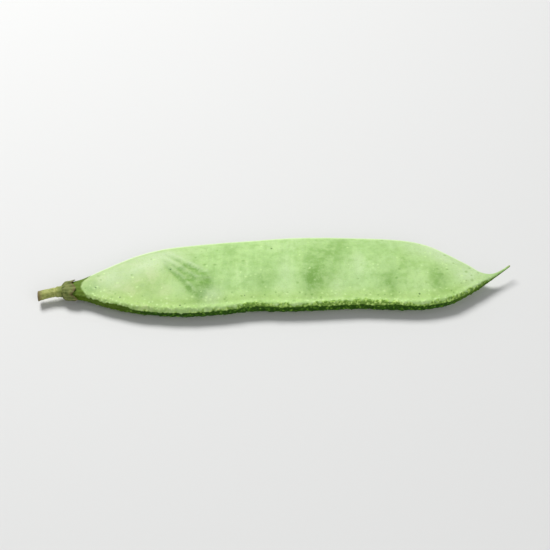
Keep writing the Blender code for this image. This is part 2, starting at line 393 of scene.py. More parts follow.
def add_pod_relief(bm, sections):
    """Gives the pod its knobs, bead, creases, ribs and unevenness, and the marks that colour its skin,
    painted shade and highlights among them.
    """
    floats, ints = bm.verts.layers.float, bm.verts.layers.int
    for v in bm.verts:
        share, turn = v[floats["share"]], v[floats["turn"]]
        middle, _, half_width, belly = sections[v[ints["station"]]]
        side, upper = math.cos(turn), turn < math.pi
        along, across = share * POD_LENGTH, side * half_width
        from_seam, from_rim = half_width + across, half_width - across
        slender = min(1.0, half_width / SLENDER_HALF)
        ends = rising(share, *NECK_FADE) * rising(share, *TIP_FADE)
        stray = noise.noise(v.co / STRAY_SIZE) + BROAD_STRAY * noise.noise(v.co / BROAD_STRAY_SIZE)
        level = (v.co.z - middle.z) / (CREST_SHARE * belly) + LEVEL_STRAY * stray
        ragged = from_seam / slender + EDGE_STRAY * stray

        # The seam's crest is green, and its wall is dark: partly its own dark green, partly painted shade on
        # its lower part
        shade_to = WALL_SHADE_TOP + WALL_SHADE_TOP_AT_NECK * rising(share, *WALL_NECK_ENDS)
        shade_to += WALL_SHADE_TOP_PAST_SEED * rising(share, *WALL_PAST_SEED)
        shaded_wall = rising(level, shade_to + WALL_SHADE_SOFT, shade_to) * rising(ragged, *WALL_SHADE_EDGE)
        swell = sum(much * bell(along - at * POD_LENGTH, length) for at, length, much in CREST_SWELLS)
        reach = CREST_REACH * (CREST_LEAST + swell)
        crest = rising(ragged, reach, CREST_FULL * reach)
        crest *= sum(much * rising(share, start, end) for much, start, end in CREST_STARTS)
        knob_mask = ends * slender * rising(from_seam + KNOB_STRAY * stray, *KNOB_FADE)
        knob = knob_height(v.co)
        rim = bell(from_rim - RIM_BEAD_INSET, RIM_BEAD_REACH) * ends * slender

        # The neck's olive ends round the tip of the pale face
        face_tip = FACE_TIP + FACE_TIP_ROUND * (side + FACE_TIP_OFF) ** 2 + FACE_TIP_STRAY * stray
        neck = rising(share, *(face_tip + soft for soft in FACE_TIP_SOFT))

        # Darker green patches, partly painted shade of the seeds' swells, and paler patches of wax bloom,
        # partly a painted sheen
        green_and_shade, bloom_and_sheen = (
            sum(
                much * bell(along - at * POD_LENGTH, length) * bell(across - off * half_width, width)
                for at, off, length, width, much in places
            )
            for places in (GREEN_AND_SHADE_PATCHES, BLOOM_AND_SHEEN_PATCHES)
        )
        dip = 0.0
        if upper and CREASED_SHARES[0] < share < CREASED_SHARES[1]:
            dip = crease_depth(along, across, half_width)
            # Past the lowest crease, painted shade as in a hollow
            t, past = past_crease(along, across, half_width, LOWEST_CREASE)
            shaded = rising(past + CREASE_STRAY * stray, *SHADE_PAST_EDGE)
            shaded *= bell(max(0.0, past), SHADE_PAST_CREASE)
            shaded *= rising(t, *SHADE_PAST_STARTS) * rising(t, *SHADE_PAST_ENDS)
            green_and_shade += SHADE_PAST_SHARE * shaded
            # Painted shade in the creases, and painted highlight on their folds
            green_and_shade += CREASE_SHADE_AND_HIGHLIGHT * max(0.0, dip) / CREASE_DEPTH
            bloom_and_sheen += CREASE_SHADE_AND_HIGHLIGHT * max(0.0, -dip) / CREASE_DEPTH

        face = rising(from_seam, *FACE_FROM_SEAM) * rising(from_rim, *FACE_FROM_RIM)
        height = KNOB_HEIGHT * knob_mask * (knob - KNOB_SUNK) + RIM_BEAD * rim - dip
        height -= RIM_HOLLOW * bell(from_rim - RIM_HOLLOW_INSET, RIM_BEAD_REACH) * ends * slender
        height += face * SWAY_HEIGHT * noise.noise(v.co / SWAY_SIZE)
        height += face * DIMPLE_HEIGHT * noise.noise(v.co / DIMPLE_SIZE)
        height += neck * NECK_RIB_HEIGHT * math.cos(NECK_RIBS * turn)
        v.co += v.normal * height

        near_seam = bell(from_seam - FRINGE_AT, FRINGE_HALF) * slender
        near_beak = bell(along - DOTTED_AT * POD_LENGTH, DOTTED_REACH)
        corner = rising(abs(v.co.z - middle.z) / RIM_HALF, *RIM_CORNER)
        # On the lower ridge the crest's green is weaker, for painted shade
        v[floats["crest"]] = crest * ends * (1.0 if upper else CREST_BELOW_IN_SHADE)
        v[floats["fringe"]] = max(near_seam, DOTTED_SHARE * near_beak)
        # Where the seam's wall is dark, partly painted shade
        v[floats["shaded_wall"]] = shaded_wall
        v[floats["knob"]] = knob * knob_mask
        v[floats["rim"]] = rising(from_rim / slender, RIM_PALE, RIM_PALE_FULL * RIM_PALE) * corner * ends
        v[floats["neck"]] = neck
        v[floats["green_and_shade"]] = min(1.0, green_and_shade)
        v[floats["bloom_and_sheen"]] = min(1.0, bloom_and_sheen)
        v[floats["olive"]] = rising(share, *OLIVE_ENDS)
        v[floats["beak"]] = rising(share, *BEAK_DARKENS)
        v[floats["tip"]] = rising(share, *TIP_BROWNS)


def face_outwards(bm):
    """Points every face of a closed mesh outwards, also where a dished end misleads the operator."""
    bmesh.ops.recalc_face_normals(bm, faces=bm.faces)
    if bm.calc_volume(signed=True) < 0:
        bmesh.ops.reverse_faces(bm, faces=bm.faces)


def new_piece(name, bm, look):
    """A smooth-shaded object of this mesh, at the world's origin."""
    mesh = bpy.data.meshes.new(name)
    bm.to_mesh(mesh)
    bm.free()
    mesh.shade_smooth()
    mesh.materials.append(look)
    piece = bpy.data.objects.new(name, mesh)
    bpy.context.scene.collection.objects.link(piece)
    return piece


def put(tree, kind, feeds=None, **settings):
    """A new node. feeds gives its inputs by name or number: outputs are linked, other values are set."""
    made = tree.nodes.new(kind)
    for name, value in settings.items():
        setattr(made, name, value)
    for socket, value in (feeds or {}).items():
        if isinstance(value, bpy.types.NodeSocket):
            tree.links.new(value, made.inputs[socket])
        else:
            made.inputs[socket].default_value = value
    return made


def grain(tree, coords, size, detail=2.0, roughness=0.5):
    """Soft noise whose lumps are about this size."""
    feeds = {"Vector": coords, "Scale": 1 / size, "Detail": detail, "Roughness": roughness}
    return put(tree, "ShaderNodeTexNoise", feeds).outputs["Fac"]


def cells(tree, coords, size, output="Distance"):
    """Scattered cells of about this size: how far the cell's point is, or the cell's own colour."""
    feeds = {"Vector": coords, "Scale": 1 / size}
    return put(tree, "ShaderNodeTexVoronoi", feeds).outputs[output]


def wavering(tree, coords, size, amount):
    """The coordinates moved about by soft noise, so that round marks come out uneven."""
    feeds = {"Vector": coords, "Scale": 1 / size, "Detail": 1.0}
    lumps = put(tree, "ShaderNodeTexNoise", feeds).outputs["Color"]
    feeds = {0: lumps, 1: (0.5, 0.5, 0.5)}
    moved = put(tree, "ShaderNodeVectorMath", feeds, operation="SUBTRACT").outputs[0]
    moved = put(tree, "ShaderNodeVectorMath", {0: moved, "Scale": amount}, operation="SCALE").outputs[0]
    return put(tree, "ShaderNodeVectorMath", {0: coords, 1: moved}, operation="ADD").outputs[0]


def mark(tree, name):
    """A value that the mesh carries at each point."""
    return put(tree, "ShaderNodeAttribute", attribute_name=name).outputs["Fac"]


def between(tree, value, low, high, to_low=0.0, to_high=1.0):
    """Takes a value from the range low..high to the range to_low..to_high, softly and held within it."""
    feeds = {"Value": value, "From Min": low, "From Max": high, "To Min": to_low, "To Max": to_high}
    return put(tree, "ShaderNodeMapRange", feeds, interpolation_type="SMOOTHSTEP").outputs["Result"]


def sums(tree, operation, *values):
    feeds = dict(enumerate(values))
    return put(tree, "ShaderNodeMath", feeds, operation=operation).outputs[0]


def tinted(tree, share, below, above, how="MIX"):
    """The colour below, mixed with the colour above by this share."""
    feeds = {0: share}
    for socket, colour in ((6, below), (7, above)):
        feeds[socket] = colour if isinstance(colour, bpy.types.NodeSocket) else (*colour, 1.0)
    return put(tree, "ShaderNodeMix", feeds, data_type="RGBA", blend_type=how).outputs[2]


def part_of(tree, where, share):
    return sums(tree, "MULTIPLY", where, share)


def flecked(tree, value, under, *tints):
    """The colour under it with each tint laid on, from where the value starts it to where it is full."""
    for start, full, share, colour in tints:
        under = tinted(tree, between(tree, value, start, full, 0.0, share), under, colour)
    return under


def steps(tree, value, *stops):
    """A colour ramp through (place, colour) stops."""
    made = put(tree, "ShaderNodeValToRGB", {"Fac": value})
    points = made.color_ramp.elements
    while len(points) < len(stops):
        points.new(0.5)
    for point, (place, colour) in zip(points, stops):
        point.position = place
        point.color = (*colour, 1.0)
    return made.outputs["Color"]


def stretched(tree, coords, x, y, z):
    return put(tree, "ShaderNodeMapping", {"Vector": coords, "Scale": (x, y, z)}).outputs["Vector"]


def new_finish(name):
    """A material: its tree, its shader and the object coordinates."""
    look = bpy.data.materials.new(name)
    look.use_nodes = True
    tree = look.node_tree
    coords = put(tree, "ShaderNodeTexCoord").outputs["Object"]
    return look, tree, tree.nodes["Principled BSDF"], coords


# The skin's colours. A tint's row is the grain's value where it starts and where it is full, its share
# there, and its colour
PATCH_SIZE = 10 * MM
PATCH_GREENS = (
    (0.34, (0.300, 0.480, 0.165)),
    (0.50, (0.360, 0.550, 0.208)),
    (0.68, (0.408, 0.585, 0.252)),
)
BAND_SIZE = 3.2 * MM
BAND_STRETCH = (1.0, 0.18, 0.18)
BAND_TINTS = ((0.50, 0.70, 0.50, (0.425, 0.620, 0.240)), (0.50, 0.30, 0.40, (0.280, 0.455, 0.150)))
STREAK_SIZE = 1.1 * MM
STREAK_STRETCH = (1.0, 0.22, 0.22)
STREAK_TINTS = ((0.52, 0.72, 0.35, (0.460, 0.650, 0.270)), (0.48, 0.30, 0.28, (0.270, 0.440, 0.140)))
MOTTLE_SIZE = 1.7 * MM
MOTTLE_TINTS = ((0.50, 0.66, 0.42, (0.440, 0.630, 0.258)), (0.50, 0.34, 0.44, (0.255, 0.430, 0.118)))
FINE_SIZE = 0.45 * MM
FINE_TINTS = ((0.52, 0.72, 0.20, (0.520, 0.680, 0.330)), (0.48, 0.28, 0.18, (0.200, 0.350, 0.090)))
PORE_SIZE = 0.60 * MM
PORE_EDGES = (0.34, 0.10)
PORE_TINT = (*PORE_EDGES, 0.14, (0.190, 0.350, 0.080))
SPECK_SPACING = 4.6 * MM
SPECK_TINT = (0.060, 0.035, 0.75, (0.060, 0.120, 0.030))

# Towards the neck the walls are yellower and blotched: both start and are full by place along X
NECKWARD_TINT = (-12 * MM, -34 * MM, 0.60, (0.285, 0.388, 0.102))
BLOTCHED_FROM = (-14 * MM, -30 * MM)
BLOTCH_SIZE = 3.6 * MM
# Each row: the noise's value where the blotch is full, its share there, and its colour
BLOTCH_TINTS = ((0.66, 0.36, (0.560, 0.610, 0.340)), (0.34, 0.45, (0.260, 0.400, 0.140)))

# Tints on the mesh's marks, each as its share and its colour
FRINGE_TINT = (0.50, (0.400, 0.590, 0.165))
GREEN_AND_SHADE_TINT = (0.95, (0.140, 0.290, 0.046))
BLOOM_AND_SHEEN_TINT = (0.75, (0.520, 0.640, 0.395))
# The neck's dark olive is partly its own colour and partly painted shade
NECK_OLIVE_AND_SHADE_TINT = (0.92, (0.075, 0.135, 0.006))
TIP_TINT = (0.45, (0.230, 0.180, 0.080))
RIM_SHARE = 0.80
# The rim's pale line is partly its own colour and partly a painted highlight
RIM_PALE_AND_GLINT_COLOUR = (0.660, 0.820, 0.470)
# A painted glint on the rim near the neck: where it starts and is full, by place along X, and then its share
# and its colour
RIM_GLINT_NEAR_NECK = (-16 * MM, -26 * MM, 0.55, (0.760, 0.870, 0.640))

# The small dots, pale and dark: their spacing and colour, and then for both how likely one is from a bare to
# a crowded face, and their radius, core and share
DOTS = ((1.05 * MM, (0.560, 0.750, 0.330)), (1.30 * MM, (0.150, 0.290, 0.055)))
DOT_CHANCE = (0.10, 0.85)
DOT_RADIUS = (0.24, 0.46)
DOT_CORE = 0.06
DOT_SHARE = 0.55
DOT_WAVER = (0.40 * MM, 0.30 * MM)
RAISED_TINT = (0.04, 0.34, 0.60, (0.570, 0.770, 0.340))

# The seam's crest and wall, each from its hollows, darker for painted shade, to its knobs
CREST_GREENS = (
    (0.06, (0.120, 0.240, 0.025)),
    (0.34, (0.350, 0.560, 0.110)),
    (0.70, (0.540, 0.710, 0.240)),
)
CREST_AT_BEAK = (0.90, (0.820, 0.850, 0.720))
# The wall's greens are partly its own dark green and partly painted shade
SHADED_WALL_GREENS = (
    (0.10, (0.018, 0.062, 0.002)),
    (0.50, (0.055, 0.148, 0.008)),
    (0.90, (0.200, 0.350, 0.050)),
)
SHADED_WALL_AT_BEAK = (0.60, (0.085, 0.160, 0.013))
SHADED_WALL_OLIVE = (0.75, (0.085, 0.140, 0.010))
CRUMBLE = (0.35, 0.65, -0.25, 0.25)
RAGGED = (0.30, 0.70, -0.30, 0.30)
ON_CREST = (0.12, 0.80, 0.0, 0.95)
ON_SHADED_WALL = (0.18, 0.82)

SKIN_ROUGHNESS = (0.46, 0.56)
ROUGHER = (("crest", 0.12), ("shaded_wall", 0.30), ("neck", 0.30))
SKIN_BUMP = {"Strength": 0.35, "Distance": 0.06 * MM}
SKIN_LIGHT = {
    "Subsurface Weight": 0.12,
    "Subsurface Radius": (0.7, 1.0, 0.35),
    "Subsurface Scale": 1.0 * MM,
    "IOR": 1.42,
    "Specular IOR Level": 0.22,
}


def pod_skin():
    """Matt green skin under a thin bloom of wax, olive at the neck and dark and knobbly along the seam, with
    painted shade and painted highlights laid into its colour.
    """
    look, tree, shader, coords = new_finish("pod_skin")
    patches = grain(tree, coords, PATCH_SIZE, 3.0, 0.55)
    bands = grain(tree, stretched(tree, coords, *BAND_STRETCH), BAND_SIZE, 2.0)
    streaks = grain(tree, stretched(tree, coords, *STREAK_STRETCH), STREAK_SIZE, 2.0)
    mottle = grain(tree, coords, MOTTLE_SIZE, 3.0, 0.62)
    green = steps(tree, patches, *PATCH_GREENS)
    green = flecked(tree, bands, green, *BAND_TINTS)
    green = flecked(tree, streaks, green, *STREAK_TINTS)
    green = flecked(tree, mottle, green, *MOTTLE_TINTS)

    # The walls are yellower towards the neck and the seam, blotched near the neck, darker green in patches,
    # partly painted shade, and paler where the wax is thickest and where a sheen is painted
    x = put(tree, "ShaderNodeSeparateXYZ", {"Vector": coords}).outputs["X"]
    green = flecked(tree, x, green, NECKWARD_TINT)
    blotches = grain(tree, coords, BLOTCH_SIZE, 2.0)
    neckward = between(tree, x, *BLOTCHED_FROM)
    for full, share, colour in BLOTCH_TINTS:
        blotch = between(tree, blotches, 0.50, full, 0.0, share)
        green = tinted(tree, sums(tree, "MULTIPLY", neckward, blotch), green, colour)
    share, colour = FRINGE_TINT
    green = tinted(tree, part_of(tree, mark(tree, "fringe"), share), green, colour)
    # Darker green patches, partly painted shade of the seeds' swells
    share, colour = GREEN_AND_SHADE_TINT
    deep_green_and_shade = sums(tree, "MULTIPLY", mark(tree, "green_and_shade"), between(tree, mottle, 0.62, 0.40, 0.60, 1.0))
    green = tinted(tree, part_of(tree, deep_green_and_shade, share), green, colour)
    # Paler where the wax bloom is thickest, and where a sheen is painted
    share, colour = BLOOM_AND_SHEEN_TINT
    wax_and_sheen = sums(tree, "MULTIPLY", mark(tree, "bloom_and_sheen"), between(tree, patches, 0.25, 0.65, 0.50, 0.95))
    green = tinted(tree, part_of(tree, wax_and_sheen, share), green, colour)

    # Fine pores and grains all over, and a few dark specks
    uneven = wavering(tree, coords, *DOT_WAVER)
    pores = cells(tree, uneven, PORE_SIZE)
    fine = grain(tree, coords, FINE_SIZE, 2.0, 0.6)
    green = flecked(tree, pores, green, PORE_TINT)
    green = flecked(tree, fine, green, *FINE_TINTS)
    green = flecked(tree, cells(tree, coords, SPECK_SPACING), green, SPECK_TINT)

    # Small dots, pale and dark, scattered on the walls and crowded towards the seam, where the knobs are
    # pale too
    fringe = mark(tree, "fringe")
    for seed, (spacing, colour) in enumerate(DOTS):
        feeds = {"Vector": uneven, "Location": (seed, seed, seed)}
        place = put(tree, "ShaderNodeMapping", feeds).outputs["Vector"]
        feeds = {"Color": cells(tree, place, spacing, "Color")}
        draws = put(tree, "ShaderNodeSeparateColor", feeds).outputs
        wanted = between(tree, fringe, 0.0, 1.0, *DOT_CHANCE)
        shown = sums(tree, "LESS_THAN", draws[seed], wanted)
        radius = between(tree, draws[2], 0.0, 1.0, *DOT_RADIUS)
        dot = between(tree, cells(tree, place, spacing), radius, DOT_CORE, 0.0, DOT_SHARE)
        green = tinted(tree, sums(tree, "MULTIPLY", shown, dot), green, colour)
    knob = mark(tree, "knob")
    green = flecked(tree, sums(tree, "MULTIPLY", knob, fringe), green, RAISED_TINT)

    # The rim is paler, partly its own skin and partly a painted highlight, and palest near the neck, where a
    # glint is painted
    rim = flecked(tree, x, RIM_PALE_AND_GLINT_COLOUR, RIM_GLINT_NEAR_NECK)
    green = tinted(tree, part_of(tree, mark(tree, "rim"), RIM_SHARE), green, rim)

    # The seam: yellow-green knobs on its crests, and a dark wall between them, partly painted shade. Near the
    # neck the wall is olive, and along the beak the crests are darker and the wall's painted shade is lighter
    # and more even
    beak = mark(tree, "beak")
    crumbs = sums(tree, "ADD", knob, between(tree, fine, *CRUMBLE))
    share, colour = CREST_AT_BEAK
    crest = steps(tree, crumbs, *CREST_GREENS)
    crest = tinted(tree, part_of(tree, beak, share), crest, colour, "MULTIPLY")
    share, colour = SHADED_WALL_AT_BEAK
    shaded_wall = steps(tree, crumbs, *SHADED_WALL_GREENS)
    shaded_wall = tinted(tree, part_of(tree, beak, share), shaded_wall, colour)
    share, colour = SHADED_WALL_OLIVE
    shaded_wall = tinted(tree, part_of(tree, mark(tree, "olive"), share), shaded_wall, colour)
    ragged = between(tree, fine, *RAGGED)
    on_crest = between(tree, sums(tree, "ADD", mark(tree, "crest"), ragged), *ON_CREST)
    on_shaded_wall = between(tree, sums(tree, "ADD", mark(tree, "shaded_wall"), ragged), *ON_SHADED_WALL)
    green = tinted(tree, on_crest, green, crest)
    green = tinted(tree, on_shaded_wall, green, shaded_wall)
    # The neck's dark olive is partly painted shade, and the tip is browned
    for name, (share, colour) in (("neck", NECK_OLIVE_AND_SHADE_TINT), ("tip", TIP_TINT)):
        green = tinted(tree, part_of(tree, mark(tree, name), share), green, colour)
    tree.links.new(green, shader.inputs["Base Color"])

    rough = between(tree, patches, 0.30, 0.70, *SKIN_ROUGHNESS)
    for name, more in ROUGHER:
        rough = sums(tree, "ADD", rough, part_of(tree, mark(tree, name), more))
    tree.links.new(rough, shader.inputs["Roughness"])
    relief = sums(tree, "SUBTRACT", part_of(tree, fine, 0.6), between(tree, pores, *PORE_EDGES))
    bump = put(tree, "ShaderNodeBump", {"Height": relief, **SKIN_BUMP})
    tree.links.new(bump.outputs["Normal"], shader.inputs["Normal"])
    for name, value in SKIN_LIGHT.items():
        shader.inputs[name].default_value = value
    return look


bm = bmesh.new()
bmesh.ops.create_cone(bm, cap_ends=True, segments=AROUND, radius1=1, radius2=1, depth=1)
long_edges = [e for e in bm.edges if abs(e.verts[0].co.z - e.verts[1].co.z) > 0.5]
bmesh.ops.subdivide_edges(bm, edges=long_edges, cuts=STATIONS - 2)
MARKS = ("crest", "fringe", "shaded_wall", "knob", "rim", "neck", "olive", "green_and_shade", "bloom_and_sheen", "beak", "tip")
for name in ("share", "turn", *MARKS):
    bm.verts.layers.float.new(name)
bm.verts.layers.int.new("station")
pod_sections = []
for station in range(STATIONS):
    even = station / (STATIONS - 1)
    share = even - END_CROWDING * math.sin(2 * math.pi * even) / (2 * math.pi)
    pod_sections.append((share, pod_section(share)))
for v in bm.verts:
    station = round((v.co.z + 0.5) * (STATIONS - 1))
    point = round(math.atan2(v.co.y, v.co.x) / (2 * math.pi) * AROUND) % AROUND
    even = 2 * math.pi * point / AROUND
    share, section = pod_sections[station]
    turn = even + SEAM_CROWDING * math.sin(even)
    v[bm.verts.layers.float["share"]] = share
    v[bm.verts.layers.float["turn"]] = turn
    v[bm.verts.layers.int["station"]] = station
    v.co = pod_point(share, turn, section)
bm.normal_update()
add_pod_relief(bm, [section for _, section in pod_sections])

# The pod takes its solid's place, and its underside is eased flat where it bears on the surface
low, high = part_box("pod")
shift = Vector((
    low.x - min(v.co.x for v in bm.verts),
    high.y - max(v.co.y for v in bm.verts),
    high.z - max(v.co.z for v in bm.verts),
))
bmesh.ops.translate(bm, verts=bm.verts, vec=shift)
for v in bm.verts:
    v.co.z = 0.5 * (v.co.z + math.sqrt(v.co.z**2 + SOFT_REST**2))
sink = min(v.co.z for v in bm.verts)
bmesh.ops.translate(bm, verts=bm.verts, vec=(0, 0, -sink))
face_outwards(bm)
pod = new_piece("bean_pod", bm, pod_skin())
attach(pod, "root")
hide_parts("pod")

# The calyx is the flower's green cup, half withered round the pod's neck, which it still clasps. Its five
# pointed lobes lie along the neck, and its veins stand out as ribs.
FIT_GAP = 0.32 * MM
CALYX_BASE = 0.80 * MM
CALYX_CUP = 1.00 * MM
CALYX_LOBES = (1.30, 1.05, 0.85, 1.40, 0.95)
CALYX_LOBE = 1.10 * MM
CALYX_WALL = 0.15 * MM
CALYX_CLEARANCE = 0.09 * MM
LOBE_POINT = 0.65
CALYX_CURL = 0.03 * MM
CALYX_CURL_FROM = 0.5
CALYX_CURL_POWER = 1.7
CALYX_RIB = 0.045 * MM
# Its veins: place between a lobe's edge, 0, and its midrib, 1, then width and how much each stands out
CALYX_VEINS = ((1, 0.16, 1.0), (0.45, 0.12, 0.7))
CALYX_CRUMPLE = 0.10 * MM
CALYX_CRUMPLE_SIZE = 0.9 * MM
CALYX_RADIUS = 2 * MM
CALYX_SHOULDER = 0.6
CALYX_AROUND = 200
CALYX_RINGS = 48
STALK_RADIUS = 0.95 * MM
CALYX_FOOT = 0.92 * STALK_RADIUS

BLOTCH_GRAIN = 0.9 * MM
CALYX_OLIVES = (
    (0.34, (0.048, 0.070, 0.010)),
    (0.50, (0.100, 0.130, 0.024)),
    (0.68, (0.180, 0.195, 0.055)),
)
CALYX_BROWNS = (0.90, 1.16)
CALYX_BROWN = (0.85, (0.105, 0.062, 0.026))
CALYX_VEIN = (0.55, (0.240, 0.270, 0.090))
CALYX_FIBRE_SIZE = 0.16 * MM
CALYX_FIBRES = (0.52, 0.70, 0.30, (0.220, 0.230, 0.090))
CALYX_BUMP = {"Strength": 0.5, "Distance": 0.05 * MM}
CALYX_ROUGHNESS = 0.80
CALYX_SPECULAR = 0.30


def dry_calyx():
    """Dull olive, papery and browned along the lobes' edges, with pale veins."""
    look, tree, shader, coords = new_finish("calyx_dry")
    blotches = grain(tree, coords, BLOTCH_GRAIN, 3.0, 0.6)
    fibres = grain(tree, stretched(tree, coords, 0.22, 1.0, 1.0), CALYX_FIBRE_SIZE, 2.0)
    olive = steps(tree, blotches, *CALYX_OLIVES)
    edge = sums(tree, "ADD", mark(tree, "reach"), part_of(tree, blotches, 0.3))
    share, colour = CALYX_BROWN
    olive = tinted(tree, part_of(tree, between(tree, edge, *CALYX_BROWNS), share), olive, colour)
    share, colour = CALYX_VEIN
    olive = tinted(tree, part_of(tree, mark(tree, "vein"), share), olive, colour)
    olive = flecked(tree, fibres, olive, CALYX_FIBRES)
    tree.links.new(olive, shader.inputs["Base Color"])
    bump = put(tree, "ShaderNodeBump", {"Height": fibres, **CALYX_BUMP})
    tree.links.new(bump.outputs["Normal"], shader.inputs["Normal"])
    shader.inputs["Roughness"].default_value = CALYX_ROUGHNESS
    shader.inputs["Specular IOR Level"].default_value = CALYX_SPECULAR
    return look


def neck_frame():
    """Axes at the neck's end: X out along the stalk, Y across, Z up."""
    middle, across, _, _ = pod_section(0.0)
    out = Vector((-across.y, across.x, 0.0))
    turn = Matrix((out, -across, Vector((0, 0, 1)))).transposed().to_4x4()
    return Matrix.Translation(middle + shift - Vector((0, 0, sink))) @ turn


def lobe_at(turn):
    """How far the cup's edge is drawn out at this turn, and how near the turn is to the lobe's midrib."""
    count = len(CALYX_LOBES)
    place = (turn / (2 * math.pi) * count + 0.5) % count
    from_tip = abs(place % 1.0 - 0.5) * 2
    return CALYX_LOBES[int(place)] * (1 - from_tip) ** LOBE_POINT, 1 - from_tip


bm = bmesh.new()
bmesh.ops.create_cone(bm, cap_ends=False, segments=CALYX_AROUND, radius1=1, radius2=1, depth=1)
long_edges = [e for e in bm.edges if abs(e.verts[0].co.z - e.verts[1].co.z) > 0.5]
bmesh.ops.subdivide_edges(bm, edges=long_edges, cuts=CALYX_RINGS - 2)
reach_layer = bm.verts.layers.float.new("reach")
vein_layer = bm.verts.layers.float.new("vein")
neck_middle, neck_across, _, _ = pod_section(0.0)
spare = CALYX_WALL + CALYX_CLEARANCE
for v in bm.verts:
    t = v.co.z + 0.5
    turn = math.atan2(v.co.y, v.co.x)
    drawn, midrib = lobe_at(turn)
    x = FIT_GAP + CALYX_BASE - t * (FIT_GAP + CALYX_BASE + CALYX_CUP + CALYX_LOBE * drawn)
    shoulder = smooth_step((FIT_GAP + CALYX_BASE - x) / (FIT_GAP + CALYX_BASE)) ** CALYX_SHOULDER
    past_cup = max(0.0, (-x - CALYX_CURL_FROM * CALYX_CUP) / (CALYX_CUP + CALYX_LOBE))
    vein = sum(much * bell(midrib - at, width) for at, width, much in CALYX_VEINS)
    proud = CALYX_CURL * past_cup**CALYX_CURL_POWER + CALYX_RIB * vein * smooth_step(3 * t)
    place = Vector((x, CALYX_RADIUS * math.cos(turn), CALYX_RADIUS * math.sin(turn)))
    proud += CALYX_CRUMPLE * (0.2 + t) * noise.noise(place / CALYX_CRUMPLE_SIZE)

    # Over the neck the cup follows the neck's own section, which widens and moves over
    middle, _, half_width, half_height = pod_section(max(0.0, -x) / POD_LENGTH)
    lean = -neck_across.dot(middle - neck_middle)
    wide, high = (
        CALYX_FOOT + (half + spare - CALYX_FOOT) * shoulder + proud for half in (half_width, half_height)
    )
    v[reach_layer] = t
    v[vein_layer] = min(1.0, vein)
    v.co = Vector((x, lean + wide * math.cos(turn), high * math.sin(turn)))
bmesh.ops.recalc_face_normals(bm, faces=bm.faces)
bmesh.ops.solidify(bm, geom=bm.faces[:], thickness=CALYX_WALL)
face_outwards(bm)
bm.transform(neck_frame())
calyx = new_piece("bean_calyx", bm, dry_calyx())
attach(calyx, "root")
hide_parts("calyx")

# The stalk is the pod's own short stem, yellow-olive and ribbed, a little swollen where it joins the calyx
# and where it was cut. Its cut end has browned round a paler pith.
STALK_LENGTH = 4.6 * MM
STALK_FOOT = 1.35
STALK_END = 1.18
STALK_BEND = 0.85 * MM
STALK_DROOP = 0.25 * MM
STALK_RIBS = 7
STALK_RIB = 0.045
STALK_RIB_FADE = 0.6
STALK_TWIST = 0.8
# The knuckle and the scar beside it: height, then place and half width as shares of the stalk's length
STALK_KNUCKLE = 0.10 * MM
KNUCKLE_AT = (0.22, 0.05)
STALK_SCAR = 0.07 * MM
SCAR_AT = (0.31, 0.04)
STALK_UNEVEN = 0.05 * MM
UNEVEN_ALONG = 6
UNEVEN_AROUND = 1.3
STALK_AROUND = 96
STALK_RINGS = 90
# Where along the stalk its foot stands in the calyx's base, and where its cut end begins, as shares of
# the base's length and of the stalk's
FOOT_AT = 0.6
CUT_AT = 0.999

# The cut end, by shares of its radius in from the edge: its rings, the dish of its pith, the lip round the
# dish, and the rounded edge
CUT_RINGS = (0.06, 0.22, 0.12, 0.20)
PITH_FROM = 0.36
PITH_SOFT = 0.12
DISH_DEPTH = 0.16 * MM
DISH_FROM = 0.40
DISH_SOFT = 0.15
LIP_HEIGHT = 0.05 * MM
LIP_AT = (0.28, 0.10)
EDGE_ROUND = 0.10 * MM
EDGE_ROUND_REACH = 0.05

STALK_OLIVES = (
    (0.34, (0.190, 0.225, 0.042)),
    (0.52, (0.310, 0.345, 0.085)),
    (0.70, (0.410, 0.430, 0.140)),
)
STALK_STREAK_SIZE = 0.20 * MM
STALK_STREAKS = ((0.50, 0.70, 0.40, (0.500, 0.500, 0.220)), (0.46, 0.30, 0.35, (0.150, 0.160, 0.035)))
# Greener at the calyx, and browned at the cut, by place along the stalk
STALK_ENDS = ((0.30, 0.12, 0.50, (0.130, 0.180, 0.030)), (0.76, 1.0, 0.85, (0.150, 0.095, 0.040)))
PITH_COLOUR = (0.450, 0.370, 0.190)
STALK_BUMP = {"Strength": 0.4, "Distance": 0.05 * MM}
STALK_ROUGHNESS = 0.64
STALK_SPECULAR = 0.35


def stalk_skin():
    """Yellow-olive with fine long ribs, browning towards the cut, whose pith is pale."""
    look, tree, shader, coords = new_finish("stalk_olive")
    blotches = grain(tree, coords, BLOTCH_GRAIN, 3.0, 0.6)
    streaks = grain(tree, stretched(tree, coords, 0.15, 1.0, 1.0), STALK_STREAK_SIZE, 2.0)
    olive = steps(tree, blotches, *STALK_OLIVES)
    olive = flecked(tree, streaks, olive, *STALK_STREAKS)
    olive = flecked(tree, mark(tree, "reach"), olive, *STALK_ENDS)
    olive = tinted(tree, mark(tree, "pith"), olive, PITH_COLOUR)
    tree.links.new(olive, shader.inputs["Base Color"])
    bump = put(tree, "ShaderNodeBump", {"Height": streaks, **STALK_BUMP})
    tree.links.new(bump.outputs["Normal"], shader.inputs["Normal"])
    shader.inputs["Roughness"].default_value = STALK_ROUGHNESS
    shader.inputs["Specular IOR Level"].default_value = STALK_SPECULAR
    return look


